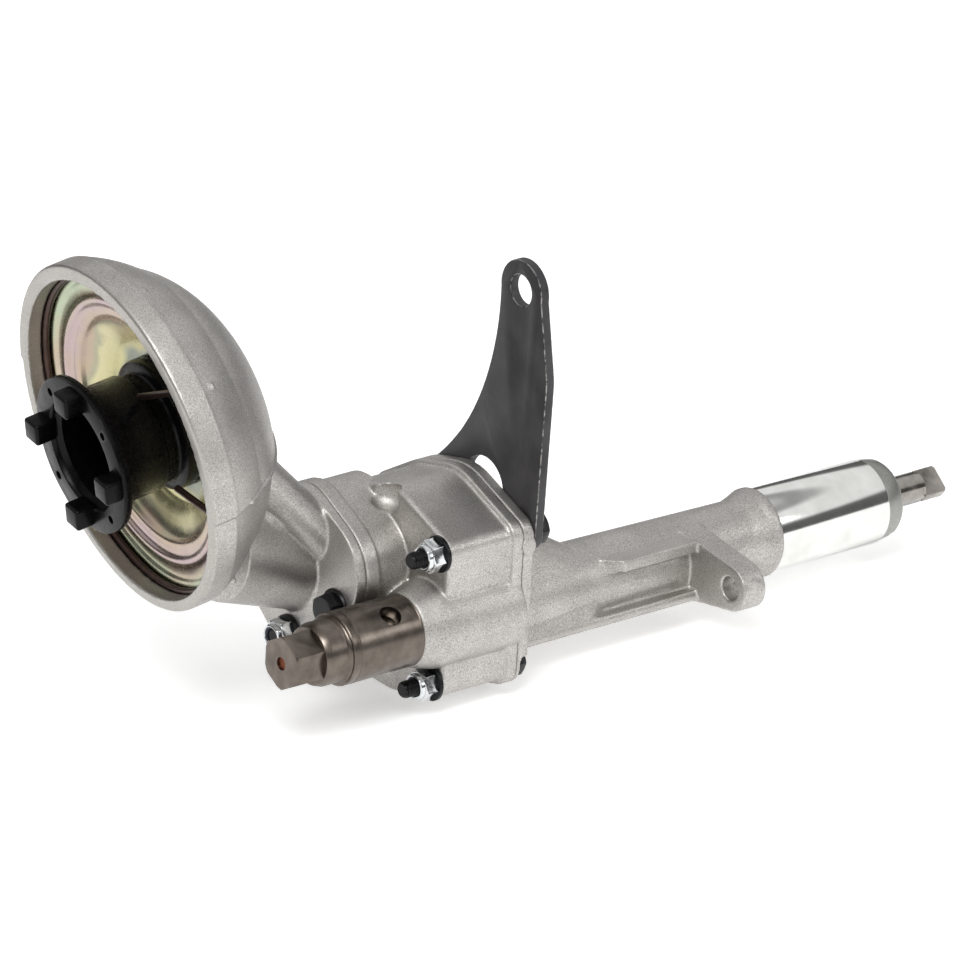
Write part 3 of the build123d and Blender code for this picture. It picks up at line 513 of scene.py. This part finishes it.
collar = stacked("cast_collar",
                 [(-9.0, 13.0), (-3.0, 15.35), (-2.0, 15.75), (-0.7, 15.8), (-0.15, 15.55), (0, 15.2)],
                 beside_shaft(0, 0), 160)
add_finish(collar, BLASTED, "drive_housing", smooth=40)
sleeve = stacked("guide_sleeve", [(-0.2, 14.6), (0.3, 14.6), (0.5, 15.0), (48.3, 15.0), (48.5, 14.9)],
                 beside_shaft(0, 0), 160)
add_finish(sleeve, GROUND, "drive_housing", smooth=30)
nose = stacked("sleeve_nose", [
    (48.4, 7.6), (48.4, 14.85), (48.6, 14.85), (54.9, 13.75), (56.1, 12.9), (56.5, 12.2), (56.5, 7.6),
    (48.4, 7.6)], beside_shaft(0, 0), 160, ring=True)
notch = block("nose_notch", (6.2, 2.6, 9), moved(54.0, -8.5, -11.0) @ turned_about("X", -38))
cut_by(nose, notch)
add_finish(nose, TURNED, "drive_housing", smooth=30)
print("turned pieces:", collar.name, sleeve.name, nose.name)

# %% [markdown]
# ## Crisp pieces that keep their shape
# The bracket, the shaft and the retaining wire already have the right shape. A merged copy gets a
# small bevel on its sharp edges, which catches the light as a real edge does. The bracket's bevels
# are painted lighter in patches. This stands for wear from rubbing and is also a painted edge
# highlight. The cell also mixes the ground steel, which the inner pieces use again.

# %% Bevelled copies
def bevelled(node, name, width, material, body="housing"):
    """A merged copy of a node with its sharp edges bevelled by a width in millimetres."""
    piece = merged_copy(node, name)
    apply_modifier(piece, "DECIMATE", decimate_type="DISSOLVE", angle_limit=math.radians(0.6))
    apply_modifier(piece, "BEVEL", width=width * MM, segments=2, limit_method="ANGLE",
                   angle_limit=math.radians(40), use_clamp_overlap=True)
    return add_finish(piece, material, node, body)


PLATE, plate_shader, plate_place = metal("phosphated_steel_plate", "3E3D3F", 0.5, 0.4)
plate_grain = add_node(PLATE, NOISE, Vector=plate_place, Scale=1 / (0.5 * MM), Detail=3)
plate_cloud = add_node(PLATE, NOISE, Vector=plate_place, Scale=1 / (16 * MM), Detail=4)
plate_cloud = add_node(PLATE, REMAP, Value=plate_cloud, From_Min=0.35, From_Max=0.65)
feed(plate_shader,
     Base_Color=add_node(PLATE, BLEND, COLOURS, Factor=plate_cloud,
                         i6=linear("333234"), i7=linear("454446")),
     Roughness=add_node(PLATE, REMAP, Value=plate_grain, **MIDDLING, To_Min=0.42, To_Max=0.58),
     Normal=add_node(PLATE, "ShaderNodeBump", Height=plate_grain, Strength=0.2, Distance=0.08 * MM))

STEEL, steel_shader, steel_place = metal("ground_steel", "A09B95", 0.18)
steel_cloud = add_node(STEEL, NOISE, Vector=steel_place, Scale=1 / (4 * MM), Detail=4)
steel_tone = add_node(STEEL, REMAP, Value=steel_cloud, **MIDDLING)
feed(steel_shader,
     Base_Color=add_node(STEEL, BLEND, COLOURS, Factor=steel_tone,
                         i6=linear("837E79"), i7=linear("A6A19B")),
     Roughness=add_node(STEEL, REMAP, Value=steel_cloud, **MIDDLING, To_Min=0.14, To_Max=0.24))

bracket = bevelled("support_bracket", "bracket_plate", 0.35, PLATE)
# Lighter patches on the bracket's bevels: partly wear from rubbing, partly a painted edge highlight.
WORN_AND_HIGHLIT_EDGE, highlit_edge_shader, highlit_edge_place = metal("worn_and_highlit_plate_edge", "8E8C88", 0.4)
rubbed_and_highlit = add_node(WORN_AND_HIGHLIT_EDGE, NOISE, Vector=highlit_edge_place, Scale=1 / (2 * MM), Detail=4)
rubbed_and_highlit = add_node(WORN_AND_HIGHLIT_EDGE, REMAP, Value=rubbed_and_highlit, From_Min=0.42, From_Max=0.58)
feed(highlit_edge_shader,
     Base_Color=add_node(WORN_AND_HIGHLIT_EDGE, BLEND, COLOURS, Factor=rubbed_and_highlit, i6=linear("48474A"), i7=linear("A3A19D")))
# A bevel's faces look neither straight along the shaft nor straight across it.
SLANT_LOW, SLANT_HIGH = 0.3, 0.93
# The slanted bevel faces take the painted edge highlight and the wear.
bracket.data.materials.append(WORN_AND_HIGHLIT_EDGE)
for face in bracket.data.polygons:
    if SLANT_LOW < abs(face.normal.x) < SLANT_HIGH:
        face.material_index = 1
bevelled("drive_shaft", "shaft_and_tang", 0.2, STEEL, "drive")
worn_and_highlit = sum(face.material_index for face in bracket.data.polygons)
print("worn faces on the bracket:", worn_and_highlit, "of", len(bracket.data.polygons))

# %% [markdown]
# ## The relief valve
# The valve is turned from steel and phosphated brown. Its barrel is a thick tube with three
# cross holes and a fine groove near its end. A cap with a hexagon is screwed into it, and a
# copper plug closes the cap.

# %% The valve's finish
VALVE, valve_shader, valve_place = metal("phosphated_turned_steel", "6B635C", 0.3)
# A fine turning feed is about 0.1 mm, too fine to show, so its lines are drawn wider.
FEED_LINE = 0.35 * MM
stretch = add_node(VALVE, "ShaderNodeMapping", Vector=valve_place, Scale=(1, 0.04, 0.04))
tool_lines = add_node(VALVE, NOISE, Vector=stretch, Scale=1 / FEED_LINE, Detail=3)
valve_cloud = add_node(VALVE, NOISE, Vector=valve_place, Scale=1 / (5 * MM), Detail=5)
valve_tone = add_node(VALVE, REMAP, Value=valve_cloud, **MIDDLING)
feed(valve_shader,
     Base_Color=add_node(VALVE, BLEND, COLOURS, Factor=valve_tone,
                         i6=linear("5F5751"), i7=linear("787068")),
     Roughness=add_node(VALVE, REMAP, Value=tool_lines, **MIDDLING, To_Min=0.27, To_Max=0.34),
     Normal=add_node(VALVE, "ShaderNodeBump", Height=tool_lines, Strength=0.05, Distance=0.08 * MM))
print("finish:", VALVE.name, "with", len(VALVE.node_tree.nodes), "nodes")

# %% The valve's barrel and cap
VALVE_Y, VALVE_Z = -21.0, 10.1
PORT_X, PORT_R, PORT_TURNS = -182.6, 3.9, (37, 157, 277)
VALVE_FLATS, PLUG_BORE_R = 17, 2.3
HEX_R = 1 / math.cos(math.radians(30)) / 2


def hexagonal(name, start, end, width, place, cut, edge=0.15):
    """A hexagon of a width across its flats between two heights, cut to a turned shape."""
    piece = stacked(name, [(start, width * HEX_R), (end, width * HEX_R)], place, 6)
    cut_by(piece, stacked(name + "_cut", cut, place, 72), "INTERSECT")
    apply_modifier(piece, "BEVEL", width=edge * MM, segments=2, limit_method="ANGLE",
                   angle_limit=math.radians(25))
    return piece


def drilled(piece, radius, start, end, place):
    """Cuts a round hole between two heights of the place."""
    cut_by(piece, stacked("drill", [(start, radius), (end, radius)], place, 32))


barrel = stacked("valve_barrel", [
    (-171.0, 7.6), (-171.0, 12.5), (-171.9, 12.5), (-172.2, 12.2), (-172.5, 12.55), (-198.2, 12.6),
    (-198.4, 12.3), (-198.7, 12.3), (-198.9, 12.6), (-201.2, 12.6), (-201.6, 12.3), (-201.6, 7.6),
    (-171.0, 7.6)],
    beside_shaft(VALVE_Y, VALVE_Z), 128, ring=True)
for turn in PORT_TURNS:
    drilled(barrel, PORT_R, 4, 14, moved(PORT_X, VALVE_Y, VALVE_Z) @ turned_about("X", turn))
apply_modifier(barrel, "BEVEL", width=0.25 * MM, segments=2, limit_method="ANGLE",
               angle_limit=math.radians(50))
add_finish(barrel, VALVE, "relief_barrel", smooth=30)
cap = stacked("valve_cap", [
    (-201.5, 12.0), (-202.1, 12.05), (-202.5, 11.8), (-202.9, 11.15), (-203.2, 11.0), (-208.9, 11.0),
    (-209.4, 10.75), (-211.0, 10.3), (-211.4, 9.9)], beside_shaft(VALVE_Y, VALVE_Z), 128)
add_finish(cap, VALVE, "relief_cap", smooth=30)
key = hexagonal("valve_hexagon", -211.0, -223.0, VALVE_FLATS, beside_shaft(VALVE_Y, VALVE_Z, 5),
                [(-211.0, 10.2), (-222.2, 10.2), (-223.0, 9.0)], 0.25)
drilled(key, PLUG_BORE_R, -224, -221.2, beside_shaft(VALVE_Y, VALVE_Z))
add_finish(key, VALVE, "relief_cap", smooth=30)
print("valve pieces:", barrel.name, cap.name, key.name)

# %% [markdown]
# ## The snorkel
# Oil is drawn in through a short black snorkel, a nylon moulding: a ring with four lugs and four
# small holes, a wide barrel, a waist, and the flange that clips into the strainer cover.

# %% The snorkel
MOULDED, moulded_shader, moulded_place = metal("moulded_black_nylon", "08080A", 0.36, 0.0)
moulded_shader.inputs["Specular IOR Level"].default_value = 0.13
flow = add_node(MOULDED, NOISE, Vector=moulded_place, Scale=1 / (3 * MM), Detail=4)
orange_peel = add_node(MOULDED, NOISE, Vector=moulded_place, Scale=1 / (0.6 * MM))
feed(moulded_shader,
     Roughness=add_node(MOULDED, REMAP, Value=flow, **MIDDLING, To_Min=0.2, To_Max=0.34),
     Base_Color=add_node(MOULDED, BLEND, COLOURS, Factor=flow, i6=linear("040405"), i7=linear("09090A")),
     Normal=add_node(MOULDED, "ShaderNodeBump", Height=orange_peel, Strength=0.08, Distance=0.1 * MM))

snorkel = stacked("snorkel_moulding", [
    (-14.0, 20.0), (-14.0, 27.2), (-13.8, 27.6), (-13.4, 27.7), (-11.1, 27.7), (-10.7, 27.5),
    (-10.5, 27.1), (-10.5, 21.6), (-10.1, 20.8), (-9.3, 20.5), (7.0, 20.5), (7.8, 20.2),
    (8.2, 19.5), (8.8, 19.1), (12.6, 19.1), (13.3, 19.6), (13.6, 21.5), (14.2, 22.6),
    (15.2, 23.0), (18.6, 23.0), (19.4, 22.5), (19.4, 20.9), (20.8, 20.9), (20.8, 22.8),
    (22.8, 22.8), (24.9, 20.4), (24.9, 17.5), (-10.5, 17.5), (-12.0, 19.4), (-13.7, 19.7),
    (-14.0, 20.0)],
    ON_BELL, 128, ring=True)
QUARTERS = (0, 90, 180, 270)
HOLE_TURN, HOLE_OUT, HOLE_R = 145.5, 23.6, 1.5
LUG_TURN, LUG_OUT, LUG_SIDE = 190.5, 22.3, 8
for quarter in QUARTERS:
    place = ON_BELL @ turned_about("Z", HOLE_TURN + quarter) @ moved(HOLE_OUT, 0, 0)
    drilled(snorkel, HOLE_R, -15, -12.2, place)
for quarter in QUARTERS:
    place = ON_BELL @ turned_about("Z", LUG_TURN + quarter) @ moved(LUG_OUT, 0, -16.0)
    joined(snorkel, block("lug", (LUG_SIDE, LUG_SIDE, LUG_SIDE), place, bevel=1.1))
add_finish(snorkel, MOULDED, "suction_snorkel", smooth=35)
print("snorkel faces:", len(snorkel.data.polygons))

# %% [markdown]
# ## The strainer cover
# The cover is steel with yellow passivated zinc. The coat is thinner than a wave of light, so
# its colour changes with the angle and with its thickness: grey green in the middle, then straw,
# a dull rose and a pale green rim. The distance from the bell's middle gives the thickness, a wide
# noise wanders it, a Layer Weight node adds the angle, and a colour ramp turns their sum into the
# rainbow. One duller stop in that ramp falls on the pressed step and paints shade along it. The
# pressing is stacked from a profile whose corners are cut round twice over.

# %% The cover and the wire
# The duller stop at 0.455 lies on the pressed step, about 40 mm out, and paints shade along it. The other
# stops are the coat's own colours.
RAINBOW_AND_STEP_SHADE = [(0.0, "7F857C"), (0.21, "8E9386"), (0.29, "B9B489"), (0.42, "C4BD97"), (0.455, "A3A18A"),
           (0.5, "B3A28E"), (0.66, "B3A1A1"), (0.78, "B6AA95"), (0.88, "AFB89F")]
BAND_INNER, BAND_OUTER, ANGLE_SHARE = 25 * MM, 61 * MM, 0.12
ZINC_COAT, coat_shader, coat_place = metal("yellow_zinc_plate", "B4AE8A", 0.22)
depth = add_node(ZINC_COAT, "ShaderNodeVectorMath", {"operation": "DISTANCE"}, i0=coat_place, i1=BELL_AT)
facing = add_node(ZINC_COAT, "ShaderNodeLayerWeight", Blend=0.35).outputs["Facing"]
wander = add_node(ZINC_COAT, NOISE, Vector=coat_place, Scale=1 / (20 * MM), Detail=2)
wander = add_node(ZINC_COAT, REMAP, Value=wander, **MIDDLING, To_Min=-0.08, To_Max=0.08)
zone = add_node(ZINC_COAT, REMAP, Value=depth, From_Min=BAND_INNER, From_Max=BAND_OUTER)
zone = add_node(ZINC_COAT, MATHS, {"operation": "ADD"}, i0=wander, i1=zone)
shift = add_node(ZINC_COAT, MATHS, {"operation": "MULTIPLY_ADD", "use_clamp": True},
                 i0=facing, i1=ANGLE_SHARE, i2=zone)
film_and_step_shade = add_node(ZINC_COAT, "ShaderNodeValToRGB", Fac=shift)
for number, (stop_at, colour) in enumerate(RAINBOW_AND_STEP_SHADE):
    stop = film_and_step_shade.color_ramp.elements[number] if number < 2 else film_and_step_shade.color_ramp.elements.new(stop_at)
    stop.position, stop.color = stop_at, linear(colour)
dull = add_node(ZINC_COAT, NOISE, Vector=coat_place, Scale=1 / (5 * MM), Detail=3)
feed(coat_shader, Base_Color=film_and_step_shade.outputs["Color"],
     Roughness=add_node(ZINC_COAT, REMAP, Value=dull, **MIDDLING, To_Min=0.22, To_Max=0.3))


def rounded(outline):
    """Cuts every corner of an outline twice over, which leaves a soft pressed curve."""
    for _ in range(2):
        cut = [outline[0]]
        for (a, b), (c, d) in zip(outline, outline[1:]):
            cut += [(a * 0.75 + c * 0.25, b * 0.75 + d * 0.25), (a * 0.25 + c * 0.75, b * 0.25 + d * 0.75)]
        outline = cut + [outline[-1]]
    return outline


PRESSED = rounded([(8.5, 56.3), (8.5, 54.0), (10, 52.3), (10, 48.9), (8.2, 47.3), (8.2, 45.7), (10, 44.1),
                   (10, 40.5), (13, 39.0), (17, 31.0), (19.5, 28.5), (19.5, 21.0)])
SHEET_T = 1.2
inside = [(height + SHEET_T, radius) for height, radius in reversed(PRESSED)]
cover = stacked("cover_pressing", PRESSED + inside + PRESSED[:1], ON_BELL, 160, ring=True)
add_finish(cover, ZINC_COAT, "strainer_cover", smooth=60)

WIRE, wire_shader, wire_place = metal("tempered_spring_wire", "4A3833", 0.32, 0.8)
wire_tone = add_node(WIRE, NOISE, Vector=wire_place, Scale=1 / (3 * MM), Detail=3)
feed(wire_shader,
     Base_Color=add_node(WIRE, BLEND, COLOURS, Factor=wire_tone, i6=linear("2E211D"), i7=linear("5A463F")))
bevelled("retaining_wire", "spring_wire", 0.3, WIRE)
print("steps in the cover's profile:", len(PRESSED))

# %% [markdown]
# ## Nuts, bolts and washers
# All the fasteners are M6. The locking nuts are bright zinc with the corners turned off, and
# their collar holds a ring of dark nylon. A nut is a hexagonal stack that is cut by a turned
# shape, which leaves the curved edges of a real nut. The bolts are black, and their ends show
# the thread, whose pitch is one millimetre.

# %% Fastener finishes
NUT_ZINC, nut_shader, nut_place = metal("bright_zinc_plate", "DADDDF", 0.13)
nut_tone = add_node(NUT_ZINC, NOISE, Vector=nut_place, Scale=1 / (1.5 * MM), Detail=4)
feed(nut_shader,
     Roughness=add_node(NUT_ZINC, REMAP, Value=nut_tone, **MIDDLING, To_Min=0.08, To_Max=0.24),
     Base_Color=add_node(NUT_ZINC, BLEND, COLOURS, Factor=nut_tone,
                         i6=linear("C2C6C9"), i7=linear("E8EAEB")))
BLACKED, black_shader, black_place = metal("black_oxide_steel", "141415", 0.34, 0.6)
black_tone = add_node(BLACKED, NOISE, Vector=black_place, Scale=1 / (1.0 * MM), Detail=4)
feed(black_shader,
     Base_Color=add_node(BLACKED, BLEND, COLOURS, Factor=black_tone,
                         i6=linear("0B0B0C"), i7=linear("202022")),
     Roughness=add_node(BLACKED, REMAP, Value=black_tone, **MIDDLING, To_Min=0.26, To_Max=0.44))
NYLON, nylon_shader, nylon_place = metal("dark_nylon_ring", "1B2230", 0.45, 0.0)
nylon_tone = add_node(NYLON, NOISE, Vector=nylon_place, Scale=1 / (0.8 * MM))
feed(nylon_shader,
     Base_Color=add_node(NYLON, BLEND, COLOURS, Factor=nylon_tone,
                         i6=linear("151B28"), i7=linear("242C3C")))

print("fastener finishes:", NUT_ZINC.name, BLACKED.name, NYLON.name)

# %% One of each
NUT_H, WASHER_T, PITCH, ACROSS_FLATS, HEAD_H = 5.0, 1.4, 1.0, 10, 4


def locking_nut(name, seat, y, z, turn, node):
    """A nut whose seat is at the height seat along the shaft, with its collar towards -X."""
    top = seat - NUT_H
    place = beside_shaft(y, z, turn)
    nut = hexagonal(name, seat, top, ACROSS_FLATS, place,
                    [(seat, 5.1), (seat - 0.4, 6.0), (top + 0.7, 6.0), (top, 4.75)])
    collar = stacked(name + "_collar", [
        (top + 0.6, 4.6), (top - 1.0, 4.55), (top - 1.45, 4.3), (top - 1.6, 3.9), (top - 1.5, 3.55),
        (top - 1.2, 3.4), (top + 0.6, 3.4), (top + 0.6, 4.6)], place, 48, ring=True)
    add_finish(joined(nut, collar), NUT_ZINC, node, smooth=30)
    ring = stacked(name + "_nylon", [
        (top + 0.3, 3.45), (top - 0.9, 3.45), (top - 1.05, 3.3), (top - 1.0, 2.9), (top - 0.8, 2.75),
        (top + 0.3, 2.75), (top + 0.3, 3.45)], place, 48, ring=True)
    add_finish(ring, NYLON, node)


def threaded(name, start, end, y, z, node):
    """A bolt's shank from start to its end, with grooves of one pitch."""
    outline = [(start, 2.55)]
    height = start
    while height - PITCH > end + 0.6:
        outline += [(height - 0.38, 2.97), (height - 0.52, 2.97), (height - 0.9, 2.5)]
        height -= PITCH
    outline += [(end + 0.5, 2.75), (end, 2.3)]
    add_finish(stacked(name, outline, beside_shaft(y, z), 36), BLACKED, node, smooth=25)


def washer(name, face, y, z, node):
    """A washer that lies on a face, towards -X."""
    outline = [(face, 3.3), (face, 6.25), (face - 0.15, 6.4), (face - 1.2, 6.4), (face - WASHER_T, 6.2),
               (face - WASHER_T, 3.3), (face, 3.3)]
    add_finish(stacked(name, outline, beside_shaft(y, z), 64, ring=True), BLACKED, node, smooth=30)


def bolt_head(name, seat, y, z):
    """A hexagonal head on the far side, towards +X."""
    head = hexagonal(name, seat, seat + HEAD_H, ACROSS_FLATS, beside_shaft(y, z, 30),
                     [(seat, 5.2), (seat + 0.3, 6.0), (seat + 3.4, 6.0), (seat + HEAD_H, 4.9)])
    add_finish(head, BLACKED, "body_bolts", smooth=30)


print("nut across its corners, in mm:", round(2 * ACROSS_FLATS * HEX_R, 2))

# %% The body's bolts, nuts and washers
# Each place is the bolt's Y and Z, and the height along the shaft where its head sits.
NUT_FACE, BELL_FACE, BOLT_END, STUD_END = -161.0, -184.0, -174.0, -191.0
NUT_PLACES = [(-28.0, 36.8, -122.0), (-23.5, -10.2, -128.5), (35.0, -10.0, -125.5)]
for number, (y, z, head_at) in enumerate(NUT_PLACES, 1):
    washer(f"body_washer_{number}", NUT_FACE, y, z, "body_washers")
    locking_nut(f"body_nut_{number}", NUT_FACE - WASHER_T, y, z, -15, "body_nuts")
    threaded(f"body_bolt_end_{number}", NUT_FACE, BOLT_END, y, z, "body_bolts")
    bolt_head(f"body_bolt_head_{number}", head_at, y, z)
bolt_head("body_screw_head", -122.0, 33.0, 35.0)
print("body nuts:", len(NUT_PLACES))

# %% The bell's screw, studs and nuts
STUD_PLACES = [(24.5, -1.0), (54.0, 26.0)]
for number, (y, z) in enumerate(STUD_PLACES, 1):
    washer(f"bell_washer_{number}", BELL_FACE, y, z, "bell_washers")
    locking_nut(f"bell_nut_{number}", BELL_FACE - WASHER_T, y, z, 30, "bell_nuts")
    threaded(f"bell_stud_{number}", BELL_FACE, STUD_END, y, z, "bell_studs")
SCREW_PLACE = beside_shaft(-0.8, 15.2)
head = hexagonal("bell_screw_head", BELL_FACE - 1.0, BELL_FACE - 6, ACROSS_FLATS, SCREW_PLACE,
                 [(BELL_FACE - 1.0, 5.9), (BELL_FACE - 5.4, 5.9), (BELL_FACE - 6, 4.9)])
flange = stacked("bell_screw_flange", [(BELL_FACE, 6.5), (BELL_FACE - 0.6, 6.6), (BELL_FACE - 1.2, 6.2),
                                       (BELL_FACE - 1.5, 5.2)], SCREW_PLACE, 64)
add_finish(joined(head, flange), BLACKED, "bell_bolt", smooth=30)
print("bell nuts:", len(STUD_PLACES))

# %% [markdown]
# ## What stays as it is
# The gears, the key, the bushes, the pin, the piston, the gauze and the plug keep the
# construction model's shape. Most of them are inside the pump. Each gets the finish of its own
# metal all the same, because they come into view when the pump is taken apart.

# %% Finishes of the inner pieces
BRONZE, bronze_shader, bronze_place = metal("sintered_bronze", "A5764A", 0.42)
# The pores of sintered bronze are under 0.1 mm wide, so they are drawn wider, to show.
PORE = 0.5 * MM
pores = add_node(BRONZE, NOISE, Vector=bronze_place, Scale=1 / PORE, Detail=2)
feed(bronze_shader,
     Base_Color=add_node(BRONZE, BLEND, COLOURS, Factor=pores, i6=linear("7C5634"), i7=linear("B98957")))
COPPER, copper_shader, copper_place = metal("copper_plug", "7A4630", 0.45)
tarnish = add_node(COPPER, NOISE, Vector=copper_place, Scale=1 / (1 * MM), Detail=3)
feed(copper_shader,
     Base_Color=add_node(COPPER, BLEND, COLOURS, Factor=tarnish, i6=linear("57301F"), i7=linear("8A5038")))
GAUZE, gauze_shader, gauze_place = metal("woven_wire_gauze", "8E8C88", 0.35)
# Strainer gauze is often finer than this, and the weave is drawn as coarse as it has to be to show.
# A band texture of scale 1 repeats about every 0.314 of a unit.
MESH_PITCH = 1.2 * MM
BAND_REPEAT = 0.314
weave = [add_node(GAUZE, "ShaderNodeTexWave", {"bands_direction": run}, Vector=gauze_place,
                  Scale=BAND_REPEAT / MESH_PITCH).outputs["Fac"] for run in ("Y", "Z")]
wires = add_node(GAUZE, MATHS, {"operation": "MAXIMUM"}, i0=weave[0], i1=weave[1])
feed(gauze_shader,
     Base_Color=add_node(GAUZE, BLEND, COLOURS, Factor=wires, i6=linear("2B2A29"), i7=linear("A3A19C")),
     Normal=add_node(GAUZE, "ShaderNodeBump", Height=wires, Strength=0.8, Distance=0.3 * MM))

FINISH = {"upper_bush": BRONZE, "lower_bush": BRONZE, "relief_plug": COPPER, "strainer_gauze": GAUZE}
for name, piece in nodes.items():
    piece.data.materials.clear()
    piece.data.materials.append(FINISH.get(name, STEEL))
print("inner finishes:", sorted({material.name for material in FINISH.values()}))

# %% [markdown]
# ## The relief spring
# When the piston slides back it presses the spring together. The spring's foot stands on the
# cap. A merged copy of the spring gets the ground steel finish and a mesh of its own.

# %% The relief spring's copy
spring = add_finish(merged_copy("relief_spring", "valve_spring"), STEEL, "relief_spring")
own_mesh(spring)
